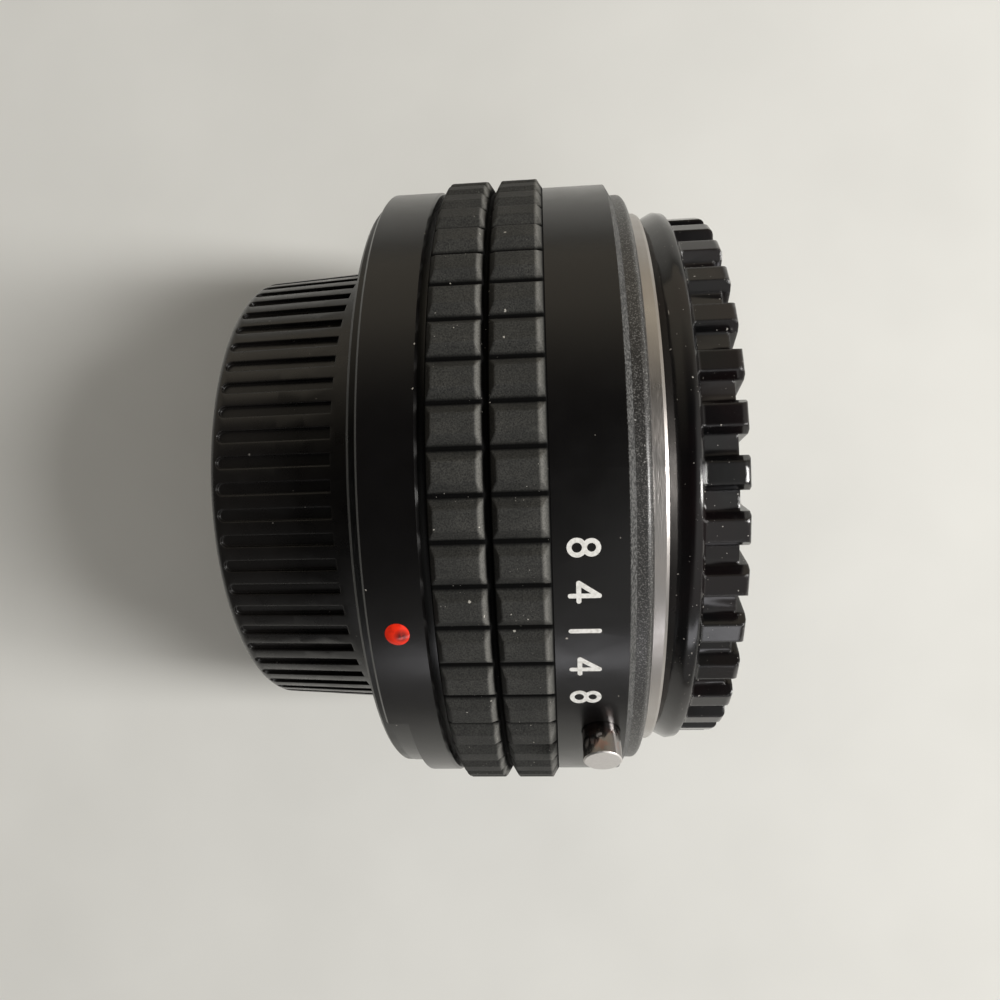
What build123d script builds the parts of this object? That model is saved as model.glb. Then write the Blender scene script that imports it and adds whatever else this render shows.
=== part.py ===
from build123d import *
import os
from math import cos, pi, radians, sin, sqrt

# A 2x bayonet teleconverter with both caps fitted, lying on its rubber grip.
# Millimetres. +X runs along the optical axis towards the lens, +Z is up.
# Angles round the axis start at the top (+Z) and grow towards -Y.

# Fits
running_gap = 0.05  # radial clearance of a piece that turns or slides
seat_gap = 0.02  # clearance of a fitted piece that stays put
cap_gap = 0.15  # radial clearance of the bayonet in its mate
face_gap = 0.05  # between two faces that nearly meet
overrun = 1.0  # how far a cut runs past the face that it opens

# Main lengths along the optical axis
rear_cap_length = 14.64
front_cap_length = 6.56
flange_proud = 0.95  # camera flange standing behind the rear barrel
rear_barrel_length = 4.85
grip_groove = 0.58  # open gap between the rear barrel and the grip
grip_width = 9.45
front_skin_length = 6.5  # visible length of the front barrel
lens_ring_length = 2.76

# Main radii, each set in from a larger one
grip_radius = 32.6
rear_barrel_step = 0.75
front_barrel_step = 0.85
sleeve_step = 2.2
flange_step = 0.99
lens_ring_step = 2.9
rear_barrel_radius = grip_radius - rear_barrel_step
front_barrel_radius = grip_radius - front_barrel_step
sleeve_radius = grip_radius - sleeve_step
camera_flange_radius = rear_barrel_radius - flange_step
lens_ring_radius = front_barrel_radius - lens_ring_step

# The index line: dot, marks and bayonets are set out from it
index_angle = 23.4

# Stations along the axis, counted from the middle of the whole length
barrel_length = rear_barrel_length + grip_groove + grip_width + seat_gap + front_skin_length
flange_distance = flange_proud + barrel_length + seat_gap + lens_ring_length
overall_length = rear_cap_length + flange_distance + front_cap_length
rear_end = -overall_length / 2
front_end = overall_length / 2
camera_face = rear_end + rear_cap_length
lens_face = camera_face + flange_distance
rear_rim = camera_face + flange_proud
rear_barrel_end = rear_rim + rear_barrel_length
grip_start = rear_barrel_end + grip_groove
grip_end = grip_start + grip_width
front_skin_start = grip_end + seat_gap
front_skin_end = front_skin_start + front_skin_length

axis_height = grip_radius
optical_axis = Axis((0, 0, axis_height), (1, 0, 0))
middle = (Align.CENTER, Align.CENTER, Align.CENTER)
standing = (Align.CENTER, Align.CENTER, Align.MIN)
hanging = (Align.CENTER, Align.CENTER, Align.MAX)


def lathe(angle=0):
    """A half section: x along the optical axis, y outwards at this angle round it."""
    out = (0, -cos(radians(angle)), -sin(radians(angle)))
    return Plane(origin=(0, 0, axis_height), x_dir=(1, 0, 0), z_dir=out)


def station(x, facing=1):
    """A plane square to the optical axis, looking along it; x points up."""
    return Plane(origin=(x, 0, axis_height), x_dir=(0, 0, 1), z_dir=(facing, 0, 0))


def spoke(x, angle):
    """A plane through the optical axis at x whose normal points outwards at this angle."""
    out = (0, -sin(radians(angle)), cos(radians(angle)))
    return Plane(origin=(x, 0, axis_height), x_dir=(1, 0, 0), z_dir=out)


def turned(*outline, mode=Mode.ADD):
    """Turns a closed outline of (station, radius) points about the optical axis."""
    with BuildSketch(lathe()) as profile:
        with BuildLine():
            Polyline(*outline, close=True)
        make_face()
    revolve(profile.sketch, axis=optical_axis, mode=mode)


def ring(start, end, inner, outer, mode=Mode.ADD):
    """A plain ring, or a disc where inner is zero."""
    turned((start, inner), (start, outer), (end, outer), (end, inner), mode=mode)


def sector(start, end, inner, outer, centre, width, mode=Mode.ADD):
    """A piece of a ring, centred on an angle and so many degrees wide."""
    with BuildSketch(lathe(centre - width / 2)) as profile:
        with BuildLine():
            Polyline((start, inner), (start, outer), (end, outer), (end, inner), close=True)
        make_face()
    revolve(profile.sketch, axis=optical_axis, revolution_arc=width, mode=mode)


def thirds(first):
    """Three angles, evenly spaced."""
    return [first + turn * 120 for turn in range(3)]


def ribbed(count, first_angle, crest, crest_width, root, root_width):
    """The corners of a ribbed ring's section: flat crests and flat roots in turn."""
    corners = []
    for rib in range(count):
        for shift, radius, width in ((0, crest, crest_width), (0.5, root, root_width)):
            angle = radians(first_angle + (rib + shift) * 360 / count)
            for side in (-width / 2, width / 2):
                across = radius * cos(angle) - side * sin(angle)
                along = radius * sin(angle) + side * cos(angle)
                corners.append((across, along))
    return corners


def coil(base, radius, wire, turns, length):
    """A round-wire coil standing on a plane's origin."""
    with BuildLine() as path:
        Helix(length / turns, length, radius, center=base.origin, direction=base.z_dir)
    with BuildSketch(Plane(origin=path.line @ 0, z_dir=path.line % 0)) as section:
        Circle(wire / 2)
    sweep(section.sketch, path=path.line, is_frenet=True)


# Bayonet, the same on both sides: male on the camera side, female on the lens side
lens_ring_wall = 5.95
lug_height = 1.3
throat_wall = 1.2
lug_recess_radius = lens_ring_radius - lens_ring_wall
lug_radius = lug_recess_radius - 2 * cap_gap
spigot_radius = lug_radius - lug_height
throat_radius = spigot_radius - throat_wall
lug_thickness = 1.4
lug_width = 56
cap_lug_width = 50
spigot_length = 4.9
lug_setback = 2.4  # camera face to the near side of a lug
tab_thickness = 1.4
tab_radius = spigot_radius + cap_gap
passage_radius = lug_radius + cap_gap

# Screws, all countersunk or cheese head with a cross recess
screw_head_radius = 1.7
screw_shank_radius = 0.8
screw_sink = screw_head_radius - screw_shank_radius
screw_count = 5
recess_length = 1.8
recess_width = 0.35
recess_depth = 0.45


def countersunk_screws(face, facing, pitch_radius, first_angle, length):
    """Countersunk screws on a circle, flush with a face."""
    with Locations(station(face, facing)):
        with PolarLocations(pitch_radius, screw_count, start_angle=facing * first_angle):
            Cone(screw_shank_radius, screw_head_radius, screw_sink, align=hanging)
            Cylinder(screw_shank_radius, length, align=hanging)
            for quarter in (0, 90):
                Box(
                    recess_length,
                    recess_width,
                    recess_depth,
                    rotation=(0, 0, quarter),
                    align=hanging,
                    mode=Mode.SUBTRACT,
                )


def countersunk_holes(face, facing, pitch_radius, first_angle, depth):
    """The holes that those screws fill, cut with a fitting gap."""
    with Locations(station(face, facing)):
        with PolarLocations(pitch_radius, screw_count, start_angle=facing * first_angle):
            Cone(
                screw_shank_radius + seat_gap,
                screw_head_radius + seat_gap,
                screw_sink,
                align=hanging,
                mode=Mode.SUBTRACT,
            )
            Cylinder(screw_shank_radius + seat_gap, depth, align=hanging, mode=Mode.SUBTRACT)


# Camera mount: flange, spigot and three lugs
camera_flange_thickness = 2.1
flange_edge_chamfer = 0.25
camera_screw_inset = 3.26
camera_screw_length = 4.0
camera_screw_angle = 5.4
camera_screw_circle = camera_flange_radius - camera_screw_inset
flange_seat = camera_face + camera_flange_thickness
spigot_end = camera_face - spigot_length
lug_end = camera_face - lug_setback - lug_thickness

with BuildPart() as camera_mount:
    turned(
        (camera_face, throat_radius),
        (camera_face, camera_flange_radius - flange_edge_chamfer),
        (camera_face + flange_edge_chamfer, camera_flange_radius),
        (flange_seat, camera_flange_radius),
        (flange_seat, throat_radius),
    )
    ring(spigot_end, camera_face, throat_radius, spigot_radius)
    for angle in thirds(index_angle):
        sector(lug_end, lug_end + lug_thickness, throat_radius, lug_radius, angle, lug_width)
    countersunk_holes(
        camera_face, -1, camera_screw_circle, camera_screw_angle, camera_flange_thickness + overrun
    )

with BuildPart() as camera_mount_screws:
    countersunk_screws(camera_face, -1, camera_screw_circle, camera_screw_angle, camera_screw_length)

# Rear barrel: a rim round the flange, a ledge behind it and a socket for the sleeve
rear_ledge_thickness = 2.0
rear_ledge_height = 6.5
barrel_chamfer = 0.2
notch_depth = 1.95  # length of the relief cut in the rear rim
notch_start_angle = 42.3
notch_width = 60
notch_floor = camera_flange_radius + face_gap
rear_ledge_radius = sleeve_radius - rear_ledge_height
rear_ledge_start = flange_seat + seat_gap
rear_ledge_end = rear_ledge_start + rear_ledge_thickness

# Index dot: a glossy bead let into the rear barrel
dot_radius = 1.0
dot_setback = 2.42  # rear rim to the dot's centre
dot_depth = 0.35
dot_proud = 0.22
dot_station = rear_rim + dot_setback
dot_floor = rear_barrel_radius - dot_depth

with BuildPart() as rear_barrel:
    turned(
        (rear_rim, camera_flange_radius + seat_gap),
        (rear_rim, rear_barrel_radius - barrel_chamfer),
        (rear_rim + barrel_chamfer, rear_barrel_radius),
        (rear_barrel_end - barrel_chamfer, rear_barrel_radius),
        (rear_barrel_end, rear_barrel_radius - barrel_chamfer),
        (rear_barrel_end, sleeve_radius + seat_gap),
        (rear_ledge_end, sleeve_radius + seat_gap),
        (rear_ledge_end, rear_ledge_radius),
        (rear_ledge_start, rear_ledge_radius),
        (rear_ledge_start, camera_flange_radius + seat_gap),
    )
    sector(
        rear_rim - overrun,
        rear_rim + notch_depth,
        notch_floor,
        rear_barrel_radius + overrun,
        notch_start_angle + notch_width / 2,
        notch_width,
        mode=Mode.SUBTRACT,
    )
    with Locations(station(rear_ledge_start, -1)):
        with PolarLocations(camera_screw_circle, screw_count, start_angle=-camera_screw_angle):
            Cylinder(
                screw_shank_radius + seat_gap,
                rear_ledge_thickness + overrun,
                align=hanging,
                mode=Mode.SUBTRACT,
            )
    with BuildSketch(spoke(dot_station, index_angle).offset(dot_floor)):
        Circle(dot_radius + seat_gap)
    extrude(amount=dot_depth + overrun, mode=Mode.SUBTRACT)

with BuildPart() as index_dot:
    with BuildSketch(lathe(index_angle)):
        with BuildLine():
            Polyline(
                (dot_station, dot_floor + dot_depth + dot_proud),
                (dot_station, dot_floor),
                (dot_station + dot_radius, dot_floor),
                (dot_station + dot_radius, dot_floor + dot_depth),
            )
            RadiusArc(
                (dot_station + dot_radius, dot_floor + dot_depth),
                (dot_station, dot_floor + dot_depth + dot_proud),
                -(dot_radius**2 + dot_proud**2) / (2 * dot_proud),
            )
        make_face()
    dot_spoke = spoke(dot_station, index_angle)
    revolve(axis=Axis(dot_spoke.origin, dot_spoke.z_dir))

# Rubber grip: two rows of blocks with flat tops, on a plain band
block_count = 56
grip_depth = 0.8  # height of a block above the grooves
block_top_share = 0.451  # of a block's pitch, flat on top
block_groove_share = 0.07  # of a block's pitch, flat between two blocks
block_side_slope = 0.5  # how far a block's end leans in
row_groove_width = 0.37
row_groove_depth = 0.3  # below the other grooves
slope_drop = 0.1  # how far the slopes run on below the grooves
grip_root = grip_radius - grip_depth
slope_foot = grip_root - slope_drop
block_top_width = block_top_share * 2 * pi * grip_radius / block_count
block_groove_width = block_groove_share * 2 * pi * grip_root / block_count
lean = block_side_slope / grip_depth
grip_middle = (grip_start + grip_end) / 2
above_grip = grip_radius + overrun

with BuildPart() as rubber_grip:
    with BuildSketch(station(grip_start)):
        with BuildLine():
            Polyline(
                *ribbed(
                    block_count, 0, grip_radius, block_top_width, grip_root, block_groove_width
                ),
                close=True,
            )
        make_face()
        Circle(sleeve_radius + seat_gap, mode=Mode.SUBTRACT)
    extrude(amount=grip_width)
    for edge, out in ((grip_start, -1), (grip_end, 1)):
        turned(
            (edge, slope_foot),
            (edge - out * lean * (above_grip - slope_foot), above_grip),
            (edge + out * overrun, above_grip),
            (edge + out * overrun, slope_foot),
            mode=Mode.SUBTRACT,
        )
    floor = grip_root - row_groove_depth
    spread = row_groove_width / 2 + lean * (above_grip - slope_foot)
    turned(
        (grip_middle - row_groove_width / 2, floor),
        (grip_middle - row_groove_width / 2, slope_foot),
        (grip_middle - spread, above_grip),
        (grip_middle + spread, above_grip),
        (grip_middle + row_groove_width / 2, slope_foot),
        (grip_middle + row_groove_width / 2, floor),
        mode=Mode.SUBTRACT,
    )

# Front barrel: the sleeve under the grip, the skin, and the ledge behind the lens ring
sleeve_wall = 1.5
front_skin_wall = 1.85
front_chamfer_length = 0.58
front_chamfer_height = 0.95
front_ledge_thickness = 2.0
front_ledge_radius = lug_recess_radius + face_gap
sleeve_start = rear_ledge_end + seat_gap
sleeve_bore = sleeve_radius - sleeve_wall
skin_bore = front_barrel_radius - front_skin_wall
front_ledge_start = front_skin_end - front_ledge_thickness
step_length = skin_bore - sleeve_bore

# Lens release: a button across the barrel and a pin along it, meeting on a 45 degree wedge
lock_angle = 45.3
button_setback = 2.75  # front end of the skin to the button's axis
button_radius = 1.65
button_reach = 2.75  # above the front barrel
button_bore = button_radius + running_gap
button_travel = 1.2
pin_inset = 4.55
pin_radius = 0.75
pin_proud = 1.1
button_top = front_barrel_radius + button_reach
button_station = front_skin_end - button_setback
pin_circle = lens_ring_radius - pin_inset

# Lens ring and its screws
lens_screw_inset = 2.85
lens_screw_length = 4.5
lens_screw_angle = 1.4
lens_screw_circle = lens_ring_radius - lens_screw_inset
lens_ring_seat = front_skin_end + seat_gap

# White marks: plain numbers either side of an index line
mark_height = 2.6
mark_stroke = 0.38
mark_sink = 0.15
mark_proud = 0.03
mark_setback = 4.1  # front end of the skin to the middle of the marks
inner_number_angle = 6.2
outer_number_angle = 12.6
lower_loop = 0.58
four_reach = 0.72  # how far the figure's corner stands to the left
four_stem = 0.35
four_foot = 0.45
four_tip = 0.8
upper_loop = (mark_height - mark_stroke) / 2 - lower_loop
mark_station = front_skin_end - mark_setback
mark_tip = (mark_height - mark_stroke) / 2
marks_floor = front_barrel_radius - mark_sink


def stroke(start, end):
    """A straight painted line with round ends."""
    run = Vector(*end) - Vector(*start)
    centre = (Vector(*start) + Vector(*end)) / 2
    with Locations(Location(centre, (0, 0, degrees_of(run)))):
        SlotCenterToCenter(run.length, mark_stroke)


def degrees_of(run):
    """The direction of a vector in its plane."""
    return Vector(1, 0).get_signed_angle(run, Vector(0, 0, 1))


def figure_eight():
    """Two rings, one on the other."""
    for loop, centre in (
        (lower_loop, lower_loop - mark_tip),
        (upper_loop, mark_tip - upper_loop),
    ):
        with Locations((0, centre)):
            Circle(loop + mark_stroke / 2)
    for loop, centre in (
        (lower_loop, lower_loop - mark_tip),
        (upper_loop, mark_tip - upper_loop),
    ):
        with Locations((0, centre)):
            Circle(loop - mark_stroke / 2, mode=Mode.SUBTRACT)


def figure_four():
    """Three strokes."""
    stroke((four_stem, -mark_tip), (four_stem, mark_tip))
    stroke((four_stem, mark_tip), (-four_reach, -four_foot))
    stroke((-four_reach, -four_foot), (four_tip, -four_foot))


def index_line():
    """One stroke along the barrel."""
    stroke((0, -mark_tip), (0, mark_tip))


def mark_plane(angle):
    """A plane on the skin whose y runs along the barrel, so that figures stand on its rear side."""
    base = spoke(mark_station, angle).offset(marks_floor)
    return Plane(origin=base.origin, x_dir=-base.y_dir, z_dir=base.z_dir)


marks = (
    (-outer_number_angle, figure_eight),
    (-inner_number_angle, figure_four),
    (0, index_line),
    (inner_number_angle, figure_four),
    (outer_number_angle, figure_eight),
)

with BuildPart() as scale_marks:
    for shift, draw in marks:
        with BuildSketch(mark_plane(index_angle + shift)) as figure:
            draw()
        extrude(figure.sketch, amount=mark_sink + mark_proud)

# Screws through the sleeve into the bulkhead, hidden by the grip
grub_radius = 1.0
grub_length = 4.7
grub_angle = 90
bulkhead_depth = 4.0
grub_inset = 2.0  # front of the bulkhead to the grub screws

# Bulkhead: rim in the sleeve, web, and a hub that carries the optics
bulkhead_setback = 0.725  # front of the bulkhead behind the grip's front edge
web_thickness = 1.8
rim_wall = 6.4
lever_inset = 0.6  # throat to the levers' outer side
lever_thickness = 1.3
hub_step = 1.3  # levers' inner side to the hub
hub_wall = 2.48
hub_length = 4.4  # behind the web
shoulder_height = 0.7
rim_bore = sleeve_bore - rim_wall
lever_outer = throat_radius - lever_inset
lever_inner = lever_outer - lever_thickness
hub_radius = lever_inner - hub_step
hub_bore = hub_radius - hub_wall
bulkhead_front = grip_end - bulkhead_setback
bulkhead_rear = bulkhead_front - bulkhead_depth
hub_end = bulkhead_rear - hub_length
grub_station = bulkhead_front - grub_inset
grub_top = sleeve_radius - face_gap
grub_floor = grub_top - grub_length

with BuildPart() as front_barrel:
    turned(
        (sleeve_start, sleeve_bore),
        (sleeve_start, sleeve_radius),
        (front_skin_start, sleeve_radius),
        (front_skin_start, front_barrel_radius),
        (front_skin_end - front_chamfer_length, front_barrel_radius),
        (front_skin_end, front_barrel_radius - front_chamfer_height),
        (front_skin_end, front_ledge_radius),
        (front_ledge_start, front_ledge_radius),
        (front_ledge_start, skin_bore),
        (front_skin_start + step_length, skin_bore),
        (front_skin_start, sleeve_bore),
    )
    with BuildSketch(spoke(button_station, lock_angle).offset(front_ledge_radius - overrun)):
        Circle(button_bore)
    extrude(amount=front_barrel_radius - front_ledge_radius + 2 * overrun, mode=Mode.SUBTRACT)
    with Locations(station(lens_ring_seat)):
        with PolarLocations(pin_circle, 1, start_angle=lock_angle):
            Cylinder(
                pin_radius + running_gap,
                front_ledge_thickness + overrun,
                align=hanging,
                mode=Mode.SUBTRACT,
            )
        with PolarLocations(lens_screw_circle, screw_count, start_angle=lens_screw_angle):
            Cylinder(
                screw_shank_radius + seat_gap,
                front_ledge_thickness + overrun,
                align=hanging,
                mode=Mode.SUBTRACT,
            )
    for angle in thirds(grub_angle):
        with BuildSketch(spoke(grub_station, angle).offset(sleeve_bore - overrun)) as hole:
            Circle(grub_radius + seat_gap)
        extrude(hole.sketch, amount=sleeve_wall + 2 * overrun, mode=Mode.SUBTRACT)
    add(scale_marks.part, mode=Mode.SUBTRACT)

with BuildPart() as barrel_screws:
    for angle in thirds(grub_angle):
        with BuildSketch(spoke(grub_station, angle).offset(grub_floor)) as shank:
            Circle(grub_radius)
        extrude(shank.sketch, amount=grub_length)
        with BuildSketch(spoke(grub_station, angle).offset(grub_top)) as drive:
            Rectangle(2 * grub_radius + overrun, recess_width)
        extrude(drive.sketch, amount=-recess_depth, mode=Mode.SUBTRACT)

# Trim ring: a dark ring with a rounded shoulder, round the lens ring
trim_step = 1.05
trim_length = 1.5
trim_flat = 0.8
trim_nose_height = 1.35
trim_radius = front_barrel_radius - trim_step
trim_nose_radius = trim_radius - trim_nose_height
trim_bore = lens_ring_radius + seat_gap
trim_start = front_skin_end + seat_gap
trim_end = trim_start + trim_length

with BuildPart() as trim_ring:
    with BuildSketch(lathe()):
        with BuildLine():
            Polyline(
                (trim_end, trim_nose_radius),
                (trim_end, trim_bore),
                (trim_start, trim_bore),
                (trim_start, trim_radius),
                (trim_start + trim_flat, trim_radius),
            )
            EllipticalCenterArc(
                (trim_start + trim_flat, trim_nose_radius),
                trim_length - trim_flat,
                trim_radius - trim_nose_radius,
                start_angle=0,
                arc_size=90,
            )
        make_face()
    revolve(axis=optical_axis)

# Lens ring: flange, three tabs, and the recess behind them that holds a lens's lugs
ring_chamfer_length = 0.25
ring_chamfer_height = 0.12
tab_start = lens_face - tab_thickness
tab_width = 56

with BuildPart() as lens_mount:
    turned(
        (lens_ring_seat, lug_recess_radius),
        (lens_ring_seat, lens_ring_radius),
        (lens_face - ring_chamfer_length, lens_ring_radius),
        (lens_face, lens_ring_radius - ring_chamfer_height),
        (lens_face, passage_radius),
        (tab_start, passage_radius),
        (tab_start, lug_recess_radius),
    )
    for angle in thirds(index_angle + 60):
        sector(tab_start, lens_face, tab_radius, lug_recess_radius, angle, tab_width)
    countersunk_holes(
        lens_face, 1, lens_screw_circle, lens_screw_angle, lens_face - lens_ring_seat + overrun
    )
    with Locations(station(lens_face)):
        with PolarLocations(pin_circle, 1, start_angle=lock_angle):
            Cylinder(
                pin_radius + running_gap,
                2 * (lens_face - lens_ring_seat + overrun),
                align=middle,
                mode=Mode.SUBTRACT,
            )

with BuildPart() as lens_mount_screws:
    countersunk_screws(lens_face, 1, lens_screw_circle, lens_screw_angle, lens_screw_length)

# Leaf springs behind the tabs, which press a lens's lugs forward
leaf_thickness = 0.3
leaf_width = 44
with BuildPart() as lens_mount_springs:
    for angle in thirds(index_angle + 60):
        sector(
            tab_start - leaf_thickness,
            tab_start,
            tab_radius + cap_gap,
            lug_recess_radius - seat_gap,
            angle,
            leaf_width,
        )

# Release button: head, clip groove and stem with a wedge end
stem_radius = 0.9
stem_length = 2.4
button_edge = 0.12
clip_radius = 2.4
clip_thickness = 0.5
clip_groove_radius = 1.2
clip_reach = 0.6  # how far the clip's legs pass the button's axis
clip_top = skin_bore - cap_gap
clip_bottom = clip_top - clip_thickness
stem_tip = pin_circle + pin_radius + cap_gap + button_travel
head_bottom = stem_tip + stem_length
wedge_line = button_station + stem_radius + stem_tip  # station plus radius, along the wedge
button_side = button_station - stem_radius

with BuildPart() as release_button:
    with BuildSketch(spoke(button_station, lock_angle).offset(head_bottom)) as head:
        Circle(button_radius)
    extrude(head.sketch, amount=button_top - head_bottom)
    outward = Axis((0, 0, 0), spoke(button_station, lock_angle).z_dir)
    chamfer(edges().sort_by(outward)[-1], button_edge)
    with BuildSketch(spoke(button_station, lock_angle).offset(stem_tip)) as stem:
        Circle(stem_radius)
    extrude(stem.sketch, amount=stem_length)
    with BuildSketch(spoke(button_station, lock_angle).offset(clip_bottom)) as groove:
        Circle(button_radius + overrun)
        Circle(clip_groove_radius, mode=Mode.SUBTRACT)
    extrude(groove.sketch, amount=clip_thickness + seat_gap, mode=Mode.SUBTRACT)
    with BuildSketch(lathe(lock_angle)) as wedge:
        with BuildLine():
            Polyline(
                (button_side + 2 * stem_radius, stem_tip),
                (button_side - overrun, wedge_line - button_side + overrun),
                (button_side - overrun, stem_tip - overrun),
                (button_side + 2 * stem_radius, stem_tip - overrun),
                close=True,
            )
        make_face()
    extrude(wedge.sketch, amount=stem_radius + seat_gap, both=True, mode=Mode.SUBTRACT)

with BuildPart() as button_clip:
    with BuildSketch(spoke(button_station, lock_angle).offset(clip_bottom)):
        Circle(clip_radius)
        Circle(clip_groove_radius + seat_gap, mode=Mode.SUBTRACT)
        with Locations((clip_radius, 0)):
            Rectangle(2 * clip_radius, 2 * clip_groove_radius, mode=Mode.SUBTRACT)
        with Locations((clip_reach + clip_radius, 0)):
            Rectangle(2 * clip_radius, 2 * clip_radius, mode=Mode.SUBTRACT)
    extrude(amount=clip_thickness)

# Lock pin: a rod through the lens ring, a wedge block, and a tail in the bulkhead
block_length = 2.4
block_width = 2.4
block_rise = 3.1  # above the pin's axis
block_drop = 0.9  # below the pin's axis
tail_radius = 0.6
tail_reach = 1.2  # into the bulkhead
pin_nose = 0.25
pin_tip = lens_face + pin_proud
block_top = pin_circle + block_rise
block_end = front_ledge_start - face_gap
block_start = block_end - block_length
block_line = wedge_line - running_gap * sqrt(2)
tail_end = bulkhead_front - tail_reach

with BuildPart() as lock_pin:
    with BuildSketch(lathe(lock_angle)) as block:
        with BuildLine():
            Polyline(
                (block_start, pin_circle - block_drop),
                (block_start, block_top),
                (block_line - block_top, block_top),
                (block_end, block_line - block_end),
                (block_end, pin_circle - block_drop),
                close=True,
            )
        make_face()
    extrude(block.sketch, amount=block_width / 2, both=True)
    with Locations(station(block_end)):
        with PolarLocations(pin_circle, 1, start_angle=lock_angle):
            Cylinder(pin_radius, pin_tip - block_end, align=standing)
    chamfer(edges().sort_by(Axis.X)[-1], pin_nose)
    with Locations(station(block_start)):
        with PolarLocations(pin_circle, 1, start_angle=lock_angle):
            Cylinder(tail_radius, block_start - tail_end, align=hanging)

pin_spring_radius = 0.95
pin_spring_wire = 0.25
pin_spring_turns = 4
pin_spring_base = spoke(bulkhead_front + pin_spring_wire / 2, lock_angle).offset(pin_circle)
with BuildPart() as lock_pin_spring:
    coil(
        Plane(origin=pin_spring_base.origin, z_dir=(1, 0, 0)),
        pin_spring_radius,
        pin_spring_wire,
        pin_spring_turns,
        block_start - bulkhead_front - pin_spring_wire,
    )

# Coupling ring: carries the diaphragm's movement from camera to lens
shoulder_length = 2.15
coupling_step = 0.7  # inside the spigot's outer radius
lever_width = 8
front_lever_angle = 120
rear_lever_angle = 300
front_lever_setback = 4.0  # lens face to the lever's end
rear_lever_reach = 4.4  # behind the camera face
coupling_travel = 15
lever_play = 3  # degrees of slot past the lever, each way
arm_angle = 200
arm_width = 7
arm_length = 3.0
coupling_radius = spigot_radius - coupling_step
arm_radius = coupling_radius + arm_length
coupling_start = hub_end + face_gap
coupling_end = bulkhead_rear - shoulder_length - face_gap
slot_angle = front_lever_angle + coupling_travel / 2
slot_width = lever_width + coupling_travel + 2 * lever_play
slot_inner = lever_inner - cap_gap
slot_outer = lever_outer + cap_gap

# Spring posts: one on the ring's arm, one on the bulkhead
post_radius = 0.5
post_inset = 0.4  # let into what carries it
ring_post_inset = 1.2
fixed_post_inset = 0.9
fixed_post_angle = 170
diaphragm_spring_radius = 0.6
diaphragm_spring_wire = 0.22
diaphragm_spring_turns = 14
ring_post_circle = arm_radius - ring_post_inset
fixed_post_circle = rim_bore - fixed_post_inset

with BuildPart() as diaphragm_ring:
    ring(coupling_start, coupling_end, hub_radius + running_gap, coupling_radius)
    sector(
        coupling_end,
        lens_face - front_lever_setback,
        lever_inner,
        lever_outer,
        front_lever_angle,
        lever_width,
    )
    sector(
        camera_face - rear_lever_reach,
        coupling_start,
        lever_inner,
        lever_outer,
        rear_lever_angle,
        lever_width,
    )
    sector(coupling_start, coupling_end, hub_radius + cap_gap, arm_radius, arm_angle, arm_width)
    with Locations(station(coupling_end)):
        with PolarLocations(ring_post_circle, 1, start_angle=arm_angle):
            Cylinder(post_radius, 2 * post_inset, align=middle, mode=Mode.SUBTRACT)

with BuildPart() as ring_post:
    with Locations(station(coupling_end - post_inset)):
        with PolarLocations(ring_post_circle, 1, start_angle=arm_angle):
            Cylinder(post_radius, shoulder_length - face_gap, align=standing)

with BuildPart() as fixed_post:
    with Locations(station(bulkhead_rear + post_inset)):
        with PolarLocations(fixed_post_circle, 1, start_angle=fixed_post_angle):
            Cylinder(post_radius, shoulder_length, align=hanging)

spring_station = (coupling_end + bulkhead_rear) / 2
spring_from = spoke(spring_station, arm_angle).offset(ring_post_circle).origin
spring_to = spoke(spring_station, fixed_post_angle).offset(fixed_post_circle).origin
spring_run = (spring_to - spring_from).normalized()
spring_length = (spring_to - spring_from).length - 2 * (post_radius + diaphragm_spring_wire)
with BuildPart() as diaphragm_spring:
    coil(
        Plane(
            origin=spring_from + spring_run * (post_radius + diaphragm_spring_wire),
            z_dir=spring_run,
        ),
        diaphragm_spring_radius,
        diaphragm_spring_wire,
        diaphragm_spring_turns,
        spring_length,
    )

# Retaining plate behind the coupling ring, with its three screws
retainer_thickness = 0.6
retainer_step = 0.18
retainer_overlap = 1.15
retainer_screw_radius = 0.45
retainer_head_radius = 0.8
retainer_head_height = 0.4
retainer_screw_length = 2.6
retainer_screw_angle = 60
retainer_bore = hub_bore + retainer_step
retainer_radius = hub_radius + retainer_overlap
retainer_screw_circle = (retainer_bore + hub_radius) / 2
retainer_rear = hub_end - retainer_thickness

with BuildPart() as bulkhead:
    ring(bulkhead_rear, bulkhead_front, rim_bore, sleeve_bore - seat_gap)
    ring(bulkhead_rear, bulkhead_rear + web_thickness, hub_radius, rim_bore + seat_gap)
    ring(hub_end, bulkhead_front, hub_bore, hub_radius)
    ring(
        bulkhead_rear - shoulder_length,
        bulkhead_rear,
        hub_radius - seat_gap,
        hub_radius + shoulder_height,
    )
    sector(
        bulkhead_rear - overrun,
        bulkhead_rear + web_thickness + overrun,
        slot_inner,
        slot_outer,
        slot_angle,
        slot_width,
        mode=Mode.SUBTRACT,
    )
    with Locations(station(bulkhead_front)):
        with PolarLocations(pin_circle, 1, start_angle=lock_angle):
            Cylinder(
                tail_radius + running_gap,
                2 * (bulkhead_depth + overrun),
                align=middle,
                mode=Mode.SUBTRACT,
            )
    with Locations(station(bulkhead_rear)):
        with PolarLocations(fixed_post_circle, 1, start_angle=fixed_post_angle):
            Cylinder(post_radius, 2 * post_inset, align=middle, mode=Mode.SUBTRACT)
    with Locations(station(hub_end)):
        with PolarLocations(retainer_screw_circle, 3, start_angle=retainer_screw_angle):
            Cylinder(
                retainer_screw_radius,
                2 * (retainer_screw_length - retainer_thickness),
                align=middle,
                mode=Mode.SUBTRACT,
            )
    for angle in thirds(grub_angle):
        with BuildSketch(spoke(grub_station, angle).offset(grub_floor)) as hole:
            Circle(grub_radius)
        extrude(hole.sketch, amount=grub_length, mode=Mode.SUBTRACT)

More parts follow.
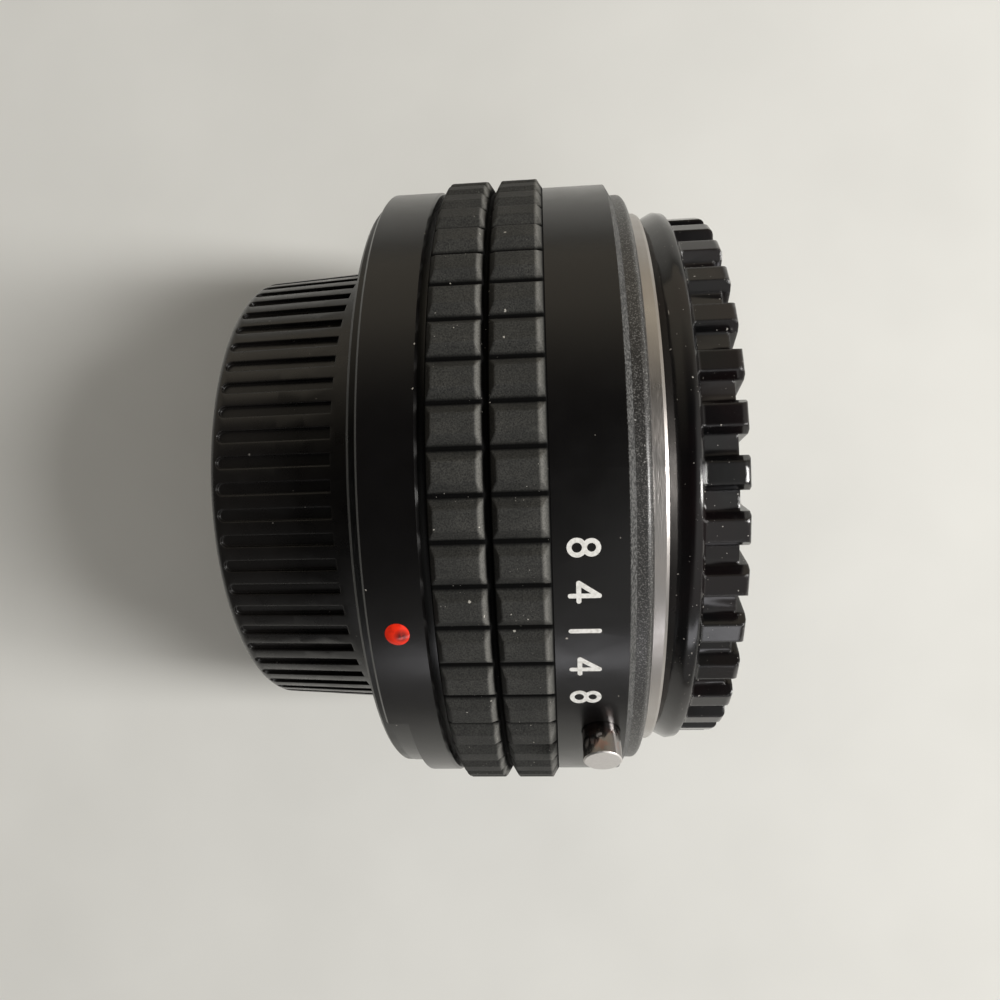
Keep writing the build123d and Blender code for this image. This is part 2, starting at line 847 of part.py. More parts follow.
with BuildPart() as ring_retainer:
    ring(retainer_rear, hub_end, retainer_bore, retainer_radius)
    with Locations(station(retainer_rear)):
        with PolarLocations(retainer_screw_circle, 3, start_angle=retainer_screw_angle):
            Cylinder(
                retainer_screw_radius + seat_gap,
                2 * (retainer_thickness + overrun),
                align=middle,
                mode=Mode.SUBTRACT,
            )

with BuildPart() as retainer_screws:
    with Locations(station(retainer_rear)):
        with PolarLocations(retainer_screw_circle, 3, start_angle=retainer_screw_angle):
            Cylinder(retainer_head_radius, retainer_head_height, align=hanging)
            Cylinder(retainer_screw_radius, retainer_screw_length, align=standing)

# Light shield: a cup in front of the bulkhead that hides the works from the lens side
shield_wall = 0.6
shield_length = 3.12
shield_lip = 1.02
shield_bore = hub_bore - shield_lip
shield_radius = front_ledge_radius - face_gap
shield_front = bulkhead_front + shield_length

with BuildPart() as light_shield:
    ring(bulkhead_front, shield_front, shield_radius - shield_wall, shield_radius)
    ring(shield_front - shield_wall, shield_front, shield_bore, shield_radius - shield_wall / 2)
    sector(
        shield_front - shield_wall - overrun,
        shield_front + overrun,
        slot_inner,
        slot_outer,
        slot_angle,
        slot_width,
        mode=Mode.SUBTRACT,
    )

# Optics: a cell with four elements, two spacers and a retaining ring
cell_wall = 1.8
cell_lip = 1.2
cell_lip_thickness = 0.8
glass_seat = 1.2  # flat rim of each glass face
cell_flange_height = 1.5
cell_flange_thickness = 0.8
element_gap = 0.05
spacer_wall = 0.85
retaining_ring_wall = 1.0
retaining_ring_length = 1.1
retaining_slot = 0.8
cell_radius = hub_bore - seat_gap
cell_flange_radius = cell_radius + cell_flange_height
cell_bore = cell_radius - cell_wall
glass_radius = cell_bore - element_gap
clear_radius = glass_radius - glass_seat
spacer_length = 3.4
cell_front_reach = 2.3  # in front of the bulkhead
cell_front = bulkhead_front + cell_front_reach

# Each element: edge thickness, then how far its rear and front faces stand out at the axis
element_shapes = (
    ("element_1", 2.6, -2.0, 0.75),
    ("element_2", 1.6, 1.2, 1.5),
    ("element_3", 3.8, -1.2, -1.3),
    ("element_4", 1.8, 0.4, 1.2),
)


def dome(apex, rim, radius):
    """The point half way along the arc from a face's apex on the axis to its rim."""
    depth = rim - apex
    curve = (radius**2 + depth**2) / (2 * depth)
    half = Vector(curve, 0).get_angle(Vector(curve - depth, radius)) / 2
    return (apex + curve - curve * cos(radians(half)), abs(curve) * sin(radians(half)))


# The stack runs back from the retaining ring, with a spacer after elements 1 and 3
stack = {}
front_of_stack = cell_front - retaining_ring_length
for name, edge, rear_bulge, front_bulge in element_shapes:
    start = front_of_stack - edge
    with BuildPart() as element:
        with BuildSketch(lathe()):
            with BuildLine():
                rear_apex = start - rear_bulge
                front_apex = front_of_stack + front_bulge
                Line((rear_apex, 0), (front_apex, 0))
                ThreePointArc(
                    (front_apex, 0),
                    dome(front_apex, front_of_stack, clear_radius),
                    (front_of_stack, clear_radius),
                )
                Polyline(
                    (front_of_stack, clear_radius),
                    (front_of_stack, glass_radius),
                    (start, glass_radius),
                    (start, clear_radius),
                )
                ThreePointArc(
                    (start, clear_radius), dome(rear_apex, start, clear_radius), (rear_apex, 0)
                )
            make_face()
        revolve(axis=optical_axis)
    stack[name] = element
    front_of_stack = start
    if name in ("element_1", "element_3"):
        with BuildPart() as spacer:
            ring(start - spacer_length, start, glass_radius - spacer_wall, glass_radius)
        stack["spacer_front" if name == "element_1" else "spacer_rear"] = spacer
        front_of_stack = start - spacer_length
cell_rear = front_of_stack - cell_lip_thickness

with BuildPart() as retaining_ring:
    ring(
        cell_front - retaining_ring_length,
        cell_front,
        glass_radius - retaining_ring_wall,
        glass_radius,
    )
    with Locations(station(cell_front)):
        Box(
            retaining_slot,
            2 * cell_radius,
            retaining_slot,
            align=middle,
            mode=Mode.SUBTRACT,
        )

with BuildPart() as lens_cell:
    ring(front_of_stack, cell_front, cell_bore, cell_radius)
    ring(cell_rear, front_of_stack, cell_bore - cell_lip, cell_radius)
    ring(bulkhead_front, bulkhead_front + cell_flange_thickness, cell_radius, cell_flange_radius)

# Rear baffle: a cap on the cell with the picture's rectangular window
baffle_thickness = 0.8
baffle_skirt = 2.2
baffle_wall = 0.78
window_width_share = 0.69  # of the baffle's diameter
window_height_share = 0.49
window_corner = 1.0
baffle_radius = cell_radius + seat_gap + baffle_wall
window_width = window_width_share * 2 * baffle_radius
window_height = window_height_share * 2 * baffle_radius
baffle_rear = cell_rear - baffle_thickness

with BuildPart() as rear_baffle:
    ring(baffle_rear, cell_rear, 0, baffle_radius)
    ring(cell_rear, cell_rear + baffle_skirt, cell_radius + seat_gap, baffle_radius)
    with BuildSketch(station(baffle_rear - overrun)):
        RectangleRounded(window_height, window_width, window_corner)
    extrude(amount=baffle_thickness + 2 * overrun, mode=Mode.SUBTRACT)

# Rear cap: a drafted cup with shallow grooves and three lugs, turned to where it lifts off
rear_cap_wall = 1.6
rear_cap_draft = 0.9
rear_cap_floor = 1.5
rear_cap_corner = 1.2
rear_cap_core_height = 0.7
rear_cap_step = 0.8  # behind the spigot's end
groove_count = 64
groove_first_angle = 1.3
groove_share = 0.466  # of a groove's pitch
groove_depth = 0.4
groove_setback = 3.18  # mouth to the grooves' square ends
groove_margin = 0.86  # grooves' round ends to the cap's end
cap_lug_thickness = 1.4
cap_lug_gap = 0.1
rear_cap_mouth = camera_face - face_gap
rear_cap_bore = passage_radius + cap_gap
rear_cap_mouth_radius = rear_cap_bore + rear_cap_wall
rear_cap_end_radius = rear_cap_mouth_radius - rear_cap_draft
rear_cap_core_radius = rear_cap_bore - rear_cap_core_height
rear_cap_inside = rear_end + rear_cap_floor
rear_cap_core_end = spigot_end - rear_cap_step
rear_cap_lug_start = camera_face - lug_setback + cap_lug_gap
draft_share = (rear_cap_mouth_radius - rear_cap_end_radius) / (rear_cap_mouth - rear_end)
draft_angle = Vector(1, 0).get_angle(Vector(1, draft_share))
groove_length = rear_cap_mouth - rear_end - groove_setback - groove_margin
groove_middle = rear_cap_mouth - groove_setback - groove_length / 2
groove_middle_radius = rear_cap_end_radius + draft_share * (groove_middle - rear_end)
groove_width = groove_share * 2 * pi * groove_middle_radius / groove_count

groove_planes = [
    spoke(groove_middle, groove_first_angle + groove * 360 / groove_count)
    .offset(groove_middle_radius)
    .rotated((0, -draft_angle, 0))
    .offset(-groove_depth)
    for groove in range(groove_count)
]

with BuildPart() as rear_cap:
    turned(
        (rear_end, 0),
        (rear_end, rear_cap_end_radius),
        (rear_cap_mouth, rear_cap_mouth_radius),
        (rear_cap_mouth, rear_cap_bore),
        (rear_cap_core_end, rear_cap_bore),
        (rear_cap_core_end, rear_cap_core_radius),
        (rear_cap_inside, rear_cap_core_radius),
        (rear_cap_inside, 0),
    )
    fillet(edges().group_by(Axis.X)[0], rear_cap_corner)
    for angle in thirds(index_angle + 60):
        sector(
            rear_cap_lug_start,
            rear_cap_lug_start + cap_lug_thickness,
            tab_radius,
            rear_cap_bore + cap_gap,
            angle,
            cap_lug_width,
        )
    with BuildSketch(*groove_planes) as grooves:
        with Locations((groove_width / 4, 0)):
            Rectangle(groove_length - groove_width / 2, groove_width)
        with Locations(((groove_width - groove_length) / 2, 0)):
            Circle(groove_width / 2)
    extrude(grooves.sketch, amount=groove_depth + overrun, mode=Mode.SUBTRACT)

# Front cap: spigot with lugs, skirt, cone and rim, and a ribbed crown
cap_seat_step = 0.9  # below the crest
crest_step = 0.05  # below the lens ring
crest_setback = 1.75  # seat to the cone's crest
crest_round = 0.3
rim_length = 0.75
rim_step = 0.1  # below the crest
rim_chamfer_length = 0.35
rim_chamfer_height = 0.5
crown_step = 1.6  # below the rim
crown_fall_length = 0.75  # end of a valley's floor to the end of the cap
crown_fall_height = 3.4  # how far the end face starts below that floor
front_cap_wall = 1.5
cap_spigot_wall = 1.3
front_cap_reach = 3.4  # behind the lens face
front_cap_lug_thickness = 1.3
rib_count = 38
rib_first_angle = 1.15
rib_height = 1.0  # above the crown
rib_heel = 0.2  # how far a rib runs on below the end face's edge
rib_share = 0.388  # of a rib's pitch, flat on top
rib_foot_share = 0.625  # of a rib's pitch, where it meets the crown
rib_corner = 0.45
rib_corner_facets = 3
crest_radius = lens_ring_radius - crest_step
cap_seat_radius = crest_radius - cap_seat_step
rim_radius = crest_radius - rim_step
crown_radius = rim_radius - crown_step
rib_radius = crown_radius + rib_height
rib_root = crown_radius - crown_fall_height - rib_heel
rib_width = rib_share * 2 * pi * rib_radius / rib_count
rib_foot_width = rib_foot_share * 2 * pi * crown_radius / rib_count
front_cap_seat = lens_face + face_gap
crest = front_cap_seat + crest_setback
rim_end = crest + rim_length
crown_start = rim_end + rim_chamfer_length
front_cap_inside = front_end - front_cap_wall
skirt_bore = crown_radius - front_cap_wall
front_cap_spigot_end = lens_face - front_cap_reach
front_cap_lug_end = tab_start - leaf_thickness - cap_lug_gap
corner_station = front_end - rib_corner
corner_radius = rib_radius - rib_corner
corner_turns = [radians(90 * facet / rib_corner_facets) for facet in range(rib_corner_facets + 1)]

with BuildPart() as front_cap:
    with BuildSketch(station(rim_end)) as ribs:
        with PolarLocations(0, rib_count, start_angle=rib_first_angle):
            Polygon(
                (rib_root, -rib_foot_width / 2),
                (crown_radius, -rib_foot_width / 2),
                (rib_radius, -rib_width / 2),
                (rib_radius, rib_width / 2),
                (crown_radius, rib_foot_width / 2),
                (rib_root, rib_foot_width / 2),
                align=None,
            )
    extrude(ribs.sketch, amount=front_end - rim_end)
    ring(rim_end, front_cap_inside, 0, skirt_bore, mode=Mode.SUBTRACT)
    turned(
        (corner_station, rib_radius + overrun),
        *[
            (corner_station + rib_corner * sin(turn), corner_radius + rib_corner * cos(turn))
            for turn in corner_turns
        ],
        (front_end + overrun, corner_radius),
        (front_end + overrun, rib_radius + overrun),
        mode=Mode.SUBTRACT,
    )
    turned(
        (front_cap_seat, skirt_bore),
        (front_cap_seat, cap_seat_radius),
        (crest - crest_round, crest_radius - crest_round / 2),
        (crest, crest_radius),
        (rim_end, rim_radius),
        (crown_start, rim_radius - rim_chamfer_height),
        (crown_start, crown_radius),
        (front_end - crown_fall_length, crown_radius),
        (front_end, crown_radius - crown_fall_height),
        (front_end, 0),
        (front_cap_inside, 0),
        (front_cap_inside, spigot_radius - cap_spigot_wall),
        (front_cap_spigot_end, spigot_radius - cap_spigot_wall),
        (front_cap_spigot_end, spigot_radius),
        (front_cap_inside, spigot_radius),
        (front_cap_inside, skirt_bore),
    )
    for angle in thirds(index_angle):
        sector(
            front_cap_lug_end - front_cap_lug_thickness,
            front_cap_lug_end,
            spigot_radius - cap_gap,
            lug_radius,
            angle,
            cap_lug_width,
        )

pieces = {
    "rear_cap": rear_cap,
    "camera_mount": camera_mount,
    "camera_mount_screws": camera_mount_screws,
    "rear_barrel": rear_barrel,
    "index_dot": index_dot,
    "rubber_grip": rubber_grip,
    "front_barrel": front_barrel,
    "scale_marks": scale_marks,
    "trim_ring": trim_ring,
    "lens_mount": lens_mount,
    "lens_mount_screws": lens_mount_screws,
    "lens_mount_springs": lens_mount_springs,
    "release_button": release_button,
    "button_clip": button_clip,
    "lock_pin": lock_pin,
    "lock_pin_spring": lock_pin_spring,
    "bulkhead": bulkhead,
    "barrel_screws": barrel_screws,
    "diaphragm_ring": diaphragm_ring,
    "ring_post": ring_post,
    "fixed_post": fixed_post,
    "diaphragm_spring": diaphragm_spring,
    "ring_retainer": ring_retainer,
    "retainer_screws": retainer_screws,
    "light_shield": light_shield,
    "lens_cell": lens_cell,
    "retaining_ring": retaining_ring,
    **stack,
    "rear_baffle": rear_baffle,
    "front_cap": front_cap,
}

os.makedirs("parts", exist_ok=True)
for name, piece in pieces.items():
    piece.part.label = name
    export_step(piece.part, f"parts/{name}.step")
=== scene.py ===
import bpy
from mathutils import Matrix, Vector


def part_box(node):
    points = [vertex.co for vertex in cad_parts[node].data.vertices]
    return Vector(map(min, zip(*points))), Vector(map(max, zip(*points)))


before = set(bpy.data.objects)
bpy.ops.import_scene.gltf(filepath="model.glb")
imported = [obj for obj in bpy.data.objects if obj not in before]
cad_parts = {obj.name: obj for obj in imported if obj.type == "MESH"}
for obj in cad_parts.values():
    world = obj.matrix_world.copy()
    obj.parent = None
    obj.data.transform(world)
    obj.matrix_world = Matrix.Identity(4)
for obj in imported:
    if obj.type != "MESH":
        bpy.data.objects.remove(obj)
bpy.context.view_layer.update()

from math import radians

import bpy
from mathutils import Matrix, Vector

bl_info = {
    "name": "Camera teleconverter",
    "version": (1, 0, 0),
    "blender": (4, 5, 0),
    "location": "View3D > Sidebar > Teleconverter",
    "description": "Finishes and stage for a bayonet teleconverter with both caps fitted",
    "category": "Material",
}

MM = 0.001
AXIS_HEIGHT = (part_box("rubber_grip")[0].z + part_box("rubber_grip")[1].z) / 2
WELD_REACH = 0.0005  # mm between corners that are one and the same
EDGE_SAMPLES = 6  # rays that look for an edge nearby


def linear(hex_colour, alpha=1.0):
    """An sRGB hex colour as Blender's linear one."""
    channels = []
    for start in (1, 3, 5):
        value = int(hex_colour[start : start + 2], 16) / 255
        channels.append(value / 12.92 if value <= 0.04045 else ((value + 0.055) / 1.055) ** 2.4)
    return (*channels, alpha)


def add(tree, kind, inputs=None, **settings):
    """Adds a node with its settings, and gives its inputs values or links."""
    node = tree.nodes.new(kind)
    for name, value in settings.items():
        setattr(node, name, value)
    for key, value in (inputs or {}).items():
        if isinstance(value, bpy.types.NodeSocket):
            tree.links.new(value, node.inputs[key])
        else:
            node.inputs[key].default_value = value
    return node


def new_finish(name, **sockets):
    """A material whose shader starts from these plain values."""
    material = bpy.data.materials.new(name)
    material.use_nodes = True
    shader = material.node_tree.nodes["Principled BSDF"]
    for socket, value in sockets.items():
        shader.inputs[socket.replace("_", " ")].default_value = value
    return material, material.node_tree, shader


def place(tree):
    """Where a point of the surface is, in millimetres in the part's own frame.

    The Scale of a pattern at that place is one over its width in millimetres.
    """
    coordinates = add(tree, "ShaderNodeTexCoord")
    return add(
        tree,
        "ShaderNodeVectorMath",
        {0: coordinates.outputs["Object"], "Scale": 1 / MM},
        operation="SCALE",
    ).outputs["Vector"]


def lathe_place(tree, point):
    """Station and radius of a point of a turned piece in mm, and its angle in radians."""
    parts = add(tree, "ShaderNodeSeparateXYZ", {0: point})
    height = add(
        tree,
        "ShaderNodeMath",
        {0: parts.outputs["Z"], 1: AXIS_HEIGHT / MM},
        operation="SUBTRACT",
    ).outputs[0]
    across = add(tree, "ShaderNodeCombineXYZ", {"Y": parts.outputs["Y"], "Z": height})
    radius = add(tree, "ShaderNodeVectorMath", {0: across.outputs[0]}, operation="LENGTH")
    angle = add(
        tree, "ShaderNodeMath", {0: parts.outputs["Y"], 1: height}, operation="ARCTAN2"
    ).outputs[0]
    return add(
        tree,
        "ShaderNodeCombineXYZ",
        {"X": parts.outputs["X"], "Y": radius.outputs["Value"], "Z": angle},
    ).outputs[0]


def clouds(tree, point, size, low, high, start=0.0, end=1.0, detail=2.0, roughness=0.5):
    """A mask of blotches this many mm wide, where low..high of the noise gives start..end."""
    blotches = add(
        tree,
        "ShaderNodeTexNoise",
        {"Vector": point, "Scale": 1 / size, "Detail": detail, "Roughness": roughness},
    ).outputs["Fac"]
    return add(
        tree,
        "ShaderNodeMapRange",
        {"Value": blotches, "From Min": low, "From Max": high, "To Min": start, "To Max": end},
    ).outputs["Result"]


def dust(tree, point, spacing, size, share):
    """A mask of specks, up to this size, in a share of cells this far apart, in mm."""
    bend = add(
        tree, "ShaderNodeTexNoise", {"Vector": point, "Scale": 1 / size, "Detail": 1.0}
    )
    bent = add(
        tree,
        "ShaderNodeVectorMath",
        {0: bend.outputs["Color"], 1: (size, size, size), 2: point},
        operation="MULTIPLY_ADD",
    )
    cells = add(
        tree,
        "ShaderNodeTexVoronoi",
        {"Vector": bent.outputs["Vector"], "Scale": 1 / spacing},
    )
    chance = add(tree, "ShaderNodeSeparateColor", {0: cells.outputs["Color"]})
    kept = add(
        tree,
        "ShaderNodeMapRange",
        {"Value": chance.outputs[0], "From Min": 1 - share, "From Max": 1.0},
    )
    widest_reach = size / 2 / spacing
    reach = add(
        tree,
        "ShaderNodeMath",
        {0: kept.outputs["Result"], 1: widest_reach},
        operation="MULTIPLY",
    )
    inside = add(
        tree,
        "ShaderNodeMath",
        {0: reach.outputs[0], 1: cells.outputs["Distance"]},
        operation="SUBTRACT",
    )
    soft_edge = size / 8 / spacing
    return add(
        tree,
        "ShaderNodeMapRange",
        {"Value": inside.outputs[0], "From Min": 0.0, "From Max": soft_edge},
    ).outputs["Result"]


def join(tree, operation, *masks):
    """One mask from several: MULTIPLY where they meet, MAXIMUM for the strongest."""
    joined = masks[0]
    for mask in masks[1:]:
        joined = add(tree, "ShaderNodeMath", {0: joined, 1: mask}, operation=operation).outputs[0]
    return joined


def layered(tree, colour, *layers):
    """Colours laid over a first one, each by its own mask."""
    # The node has sockets of the same name for numbers and vectors, so these go by number
    factor, under, over, result = 0, 6, 7, 2
    for mask, top in layers:
        layer = add(
            tree, "ShaderNodeMix", {factor: mask, under: colour, over: top}, data_type="RGBA"
        )
        colour = layer.outputs[result]
    return colour


def emboss(tree, shader, height, depth, edge=None):
    """Gives a shader relief this deep, over edges rounded off by so much, both in mm."""
    inputs = {"Height": height, "Distance": depth * MM, "Strength": 1.0}
    if edge is not None:
        soft = add(tree, "ShaderNodeBevel", {"Radius": edge * MM}, samples=EDGE_SAMPLES)
        inputs["Normal"] = soft.outputs["Normal"]
    bump = add(tree, "ShaderNodeBump", inputs)
    tree.links.new(bump.outputs["Normal"], shader.inputs["Normal"])


def put_on(material, *names):
    """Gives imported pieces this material."""
    for name in names:
        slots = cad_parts[name].data.materials
        slots.clear()
        slots.append(material)


def ease(name, width, segments=2, limit=30):
    """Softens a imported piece's edges that turn more than a limit in degrees, by so many mm."""
    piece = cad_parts[name]
    weld = piece.modifiers.new("Weld", "WELD")
    weld.merge_threshold = WELD_REACH * MM
    bevel = piece.modifiers.new("Edges", "BEVEL")
    bevel.width = width * MM
    bevel.segments = segments
    bevel.limit_method = "ANGLE"
    bevel.angle_limit = radians(limit)
    bevel.harden_normals = True


class PlasticSizes(bpy.types.PropertyGroup):
    """Finish of the moulded caps."""

    rear_colour: bpy.props.FloatVectorProperty(
        name="Rear cap",
        description="Colour of the satin rear cap",
        subtype="COLOR",
        size=4,
        default=linear("#121110"),
    )
    front_colour: bpy.props.FloatVectorProperty(
        name="Front cap",
        description="Colour of the glossy front cap",
        subtype="COLOR",
        size=4,
        default=linear("#0c0c0d"),
    )
    texture: bpy.props.FloatProperty(
        name="Mould texture",
        description="Width of the mould's fine texture",
        subtype="DISTANCE",
        default=0.12 * MM,
    )


class BarrelSizes(bpy.types.PropertyGroup):
    """Finish of the painted barrels and the trim ring."""

    colour: bpy.props.FloatVectorProperty(
        name="Barrel",
        description="Colour of the satin black paint",
        subtype="COLOR",
        size=4,
        default=linear("#0b0a0a"),
    )
    trim_colour: bpy.props.FloatVectorProperty(
        name="Trim ring",
        description="Colour of the dark grey trim ring",
        subtype="COLOR",
        size=4,
        default=linear("#1d1c1b"),
    )
    turning: bpy.props.FloatProperty(
        name="Turning marks",
        description="Distance between the lathe's marks",
        subtype="DISTANCE",
        default=0.06 * MM,
    )


class GripSizes(bpy.types.PropertyGroup):
    """Finish of the rubber grip."""

    colour: bpy.props.FloatVectorProperty(
        name="Rubber",
        description="Colour of the matt rubber",
        subtype="COLOR",
        size=4,
        default=linear("#151514"),
    )
    grain: bpy.props.FloatProperty(
        name="Grain",
        description="Width of the rubber's grain",
        subtype="DISTANCE",
        default=0.14 * MM,
    )


class MetalSizes(bpy.types.PropertyGroup):
    """Finish of the mounts, the button and the inner metal."""

    chrome_colour: bpy.props.FloatVectorProperty(
        name="Chrome",
        description="Colour of the satin chrome",
        subtype="COLOR",
        size=4,
        default=linear("#bebcba"),
    )
    turning: bpy.props.FloatProperty(
        name="Turning marks",
        description="Distance between the lathe's marks",
        subtype="DISTANCE",
        default=0.05 * MM,
    )
    button_reach: bpy.props.FloatProperty(
        name="Button reach",
        description="How far the button's end stands above the barrel",
        subtype="DISTANCE",
        default=2.75 * MM,
    )


class MarkSizes(bpy.types.PropertyGroup):
    """Colours of the index dot and the white marks."""

    dot_colour: bpy.props.FloatVectorProperty(
        name="Index dot",
        description="Colour of the red bead",
        subtype="COLOR",
        size=4,
        default=linear("#ea3018"),
    )
    white: bpy.props.FloatVectorProperty(
        name="White marks",
        description="Colour of the paint in the engraving",
        subtype="COLOR",
        size=4,
        default=linear("#e9e8e4"),
    )


class StageSizes(bpy.types.PropertyGroup):
    """Floor, light and camera."""

    floor_colour: bpy.props.FloatVectorProperty(
        name="Floor",
        description="Colour of the plain floor",
        subtype="COLOR",
        size=4,
        default=linear("#dededa"),
    )
    lens: bpy.props.FloatProperty(
        name="Lens",
        description="Focal length of the camera",
        subtype="DISTANCE_CAMERA",
        default=26.77,
    )


class TELECONVERTER_OT_rear_cap(bpy.types.Operator):
    """Finish the satin rear cap"""

    bl_idname = "teleconverter.rear_cap"
    bl_label = "Rear cap"

    def execute(self, context):
        sizes = context.scene.teleconverter_plastic
        # Moulded polypropylene: a satin skin with a soft, slightly wavy sheen and fine dust
        material, tree, shader = new_finish("Moulded polypropylene", Roughness=0.33, IOR=1.49)
        point = place(tree)
        specks = dust(tree, point, spacing=1.0, size=0.2, share=0.45)
        cloud = add(
            tree, "ShaderNodeTexNoise", {"Vector": point, "Scale": 1 / 3.0, "Detail": 3.0}
        ).outputs["Fac"]
        base = layered(
            tree,
            sizes.rear_colour,
            (cloud, linear("#1b1918")),
            (specks, linear("#6d6a66")),
        )
        tree.links.new(base, shader.inputs["Base Color"])
        smear = clouds(
            tree, point, size=1.7, low=0.3, high=0.75, start=0.24, end=0.36, detail=4.0
        )
        tree.links.new(smear, shader.inputs["Roughness"])
        skin = add(
            tree, "ShaderNodeTexNoise", {"Vector": point, "Scale": MM / sizes.texture}
        ).outputs["Fac"]
        emboss(tree, shader, skin, depth=0.004, edge=0.2)
        put_on(material, "rear_cap")
        ease("rear_cap", width=0.14, segments=3)
        return {"FINISHED"}


class TELECONVERTER_OT_front_cap(bpy.types.Operator):
    """Finish the glossy front cap"""

    bl_idname = "teleconverter.front_cap"
    bl_label = "Front cap"

    def execute(self, context):
        sizes = context.scene.teleconverter_plastic
        # ABS from a polished mould: a wet gloss with dust and lint on it
        material, tree, shader = new_finish("Glossy ABS", Roughness=0.16, IOR=1.53)
        point = place(tree)
        specks = dust(tree, point, spacing=0.7, size=0.2, share=0.55)
        fine = dust(tree, point, spacing=0.32, size=0.09, share=0.4)
        # Lint is dust drawn out across the axis
        drawn_out = add(
            tree, "ShaderNodeVectorMath", {0: point, 1: (1.0, 0.2, 0.2)}, operation="MULTIPLY"
        ).outputs["Vector"]
        lint = dust(tree, drawn_out, spacing=0.8, size=0.12, share=0.3)
        loose = join(tree, "MAXIMUM", specks, fine, lint)
        cast = clouds(tree, point, size=6.0, low=0.4, high=0.6)
        base = layered(
            tree,
            sizes.front_colour,
            (cast, linear("#120d0e")),
            (loose, linear("#a5a19b")),
        )
        tree.links.new(base, shader.inputs["Base Color"])
        worn = clouds(
            tree, point, size=2.2, low=0.35, high=0.75, start=0.1, end=0.18, detail=4.0
        )
        rough = add(tree, "ShaderNodeMath", {0: worn, 1: specks}, operation="ADD", use_clamp=True)
        tree.links.new(rough.outputs[0], shader.inputs["Roughness"])
        skin = add(
            tree, "ShaderNodeTexNoise", {"Vector": point, "Scale": 1 / 1.6}
        ).outputs["Fac"]
        emboss(tree, shader, skin, depth=0.006, edge=0.32)
        put_on(material, "front_cap")
        ease("front_cap", width=0.26, segments=3, limit=35)
        return {"FINISHED"}


class TELECONVERTER_OT_barrels(bpy.types.Operator):
    """Finish the painted barrels"""

    bl_idname = "teleconverter.barrels"
    bl_label = "Barrels"

    def execute(self, context):
        sizes = context.scene.teleconverter_barrel
        # Baked enamel on turned aluminium: deep satin black with faint lathe marks and dust
        material, tree, shader = new_finish("Baked enamel on aluminium", Roughness=0.3, IOR=1.5)
        point = place(tree)
        turned = lathe_place(tree, point)
        specks = dust(tree, point, spacing=1.4, size=0.2, share=0.4)
        # The front chamfer's paint is rubbed to a speckled grey, drawn coarse enough to show
        rubbed_length, fade, raggedness, matt = 0.48, 0.1, 0.3, 0.35
        rubbed_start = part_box("front_barrel")[1].x / MM - rubbed_length
        station = add(tree, "ShaderNodeSeparateXYZ", {0: point}).outputs["X"]
        ragged = add(
            tree,
            "ShaderNodeTexNoise",
            {"Vector": point, "Scale": 1 / 0.16, "Detail": 3.0, "Roughness": 0.7},
        )
        ragged = add(
            tree,
            "ShaderNodeMath",
            {0: ragged.outputs["Fac"], 1: raggedness, 2: station},
            operation="MULTIPLY_ADD",
        )
        chamfer = add(
            tree,
            "ShaderNodeMapRange",
            {
                "Value": ragged.outputs[0],
                "From Min": rubbed_start,
                "From Max": rubbed_start + fade,
            },
        ).outputs["Result"]
        speckle = clouds(
            tree, point, size=0.22, low=0.46, high=0.56, start=0.1, detail=3.0, roughness=0.7
        )
        base = layered(
            tree,
            sizes.colour,
            (join(tree, "MULTIPLY", chamfer, speckle), linear("#565655")),
            (specks, linear("#a09b93")),
        )
        tree.links.new(base, shader.inputs["Base Color"])
        smear = clouds(
            tree, point, size=2.4, low=0.3, high=0.75, start=0.22, end=0.27, detail=4.0
        )
        rough = add(
            tree, "ShaderNodeMath", {0: chamfer, 1: matt, 2: smear}, operation="MULTIPLY_ADD"
        )
        tree.links.new(rough.outputs[0], shader.inputs["Roughness"])
        marks = add(
            tree,
            "ShaderNodeTexNoise",
            {"Vector": turned, "Scale": MM / sizes.turning, "Detail": 1.0},
        ).outputs["Fac"]
        emboss(tree, shader, marks, depth=0.001)
        put_on(material, "rear_barrel", "front_barrel")
        return {"FINISHED"}


class TELECONVERTER_OT_trim_ring(bpy.types.Operator):
    """Finish the trim ring"""

    bl_idname = "teleconverter.trim_ring"
    bl_label = "Trim ring"

    def execute(self, context):
        sizes = context.scene.teleconverter_barrel
        # Blasted and anodised aluminium: dark grey with a fine bright sparkle. The grit's marks
        # are finer than the picture can show, so they are drawn a little coarser
        material, tree, shader = new_finish("Blasted anodised aluminium", Roughness=0.42, IOR=1.6)
        point = place(tree)
        sparkle = clouds(tree, point, size=0.13, low=0.52, high=0.66, roughness=0.7)
        specks = dust(tree, point, spacing=0.7, size=0.18, share=0.45)
        base = layered(
            tree,
            sizes.trim_colour,
            (sparkle, linear("#6c6b69")),
            (specks, linear("#9b9a97")),
        )
        tree.links.new(base, shader.inputs["Base Color"])
        rough = add(
            tree, "ShaderNodeMapRange", {"Value": sparkle, "To Min": 0.38, "To Max": 0.28}
        )
        tree.links.new(rough.outputs["Result"], shader.inputs["Roughness"])
        grit = add(
            tree, "ShaderNodeTexNoise", {"Vector": point, "Scale": 1 / 0.08}
        ).outputs["Fac"]
        emboss(tree, shader, grit, depth=0.006)
        put_on(material, "trim_ring")
        return {"FINISHED"}


